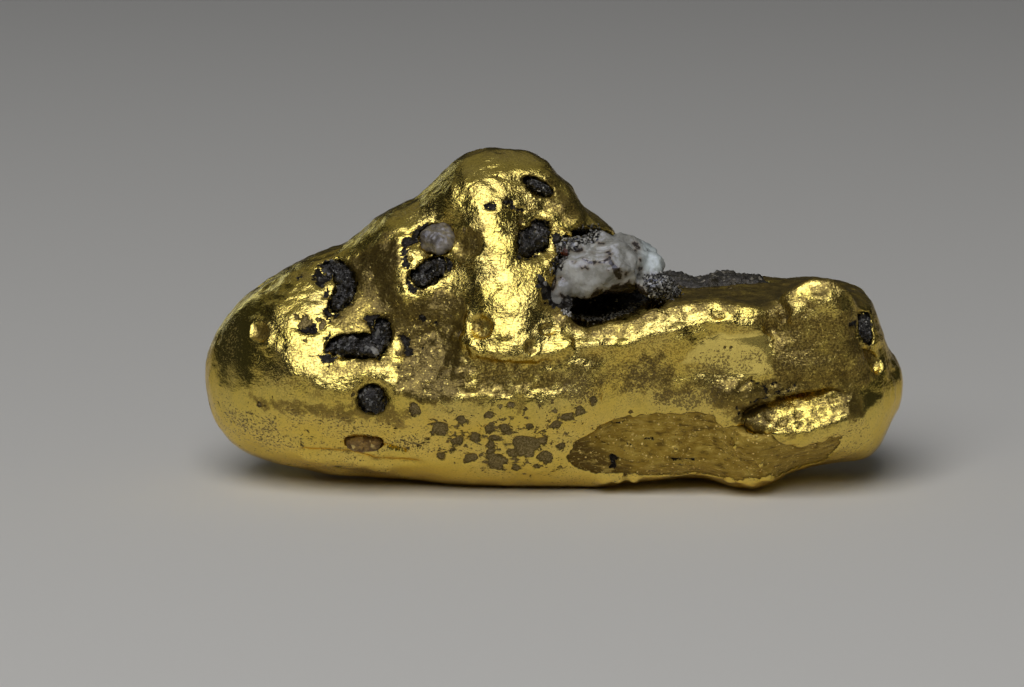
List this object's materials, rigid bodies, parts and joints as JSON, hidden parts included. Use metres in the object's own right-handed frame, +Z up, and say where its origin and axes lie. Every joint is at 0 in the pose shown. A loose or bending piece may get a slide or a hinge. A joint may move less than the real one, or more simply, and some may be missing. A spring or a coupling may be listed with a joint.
{
  "type": "gold nugget",
  "caption": "Water-worn gold nugget with a blunt rounded end, a raised peak and a squared arm, holding quartz and dark ironstone grains in its pockets; rests on a worn flat.",
  "frame": {"origin": "middle of the footprint, on the surface that the nugget rests on", "axes": "+X along the nugget from its blunt end to its knob, +Z up; the face with the quartz and the grains looks along -Y"},
  "size_m": [0.035, 0.015, 0.0169],
  "materials": {
    "gold": "worn natural gold, polished on the high points, matt and pitted in the hollows",
    "quartz": "milky vein quartz with dark stained cracks",
    "smoky_quartz": "grey smoky quartz, rounded",
    "ironstone": "black granular ironstone with small glinting faces",
    "limonite": "brown earthy limonite",
    "jasper": "dark red jasper"
  },
  "bodies": {
    "root": {"gold_body": "gold", "quartz_chunk": "quartz", "quartz_small": "smoky_quartz", "ironstone_crust": "ironstone", "ironstone_wedge": "ironstone", "ironstone_hook": "ironstone", "ironstone_elbow": "ironstone", "ironstone_bead": "ironstone", "ironstone_eye": "ironstone", "ironstone_sliver": "ironstone", "ironstone_end": "ironstone", "limonite_pebble": "limonite", "jasper_grain": "jasper"}
  },
  "joints": []
}
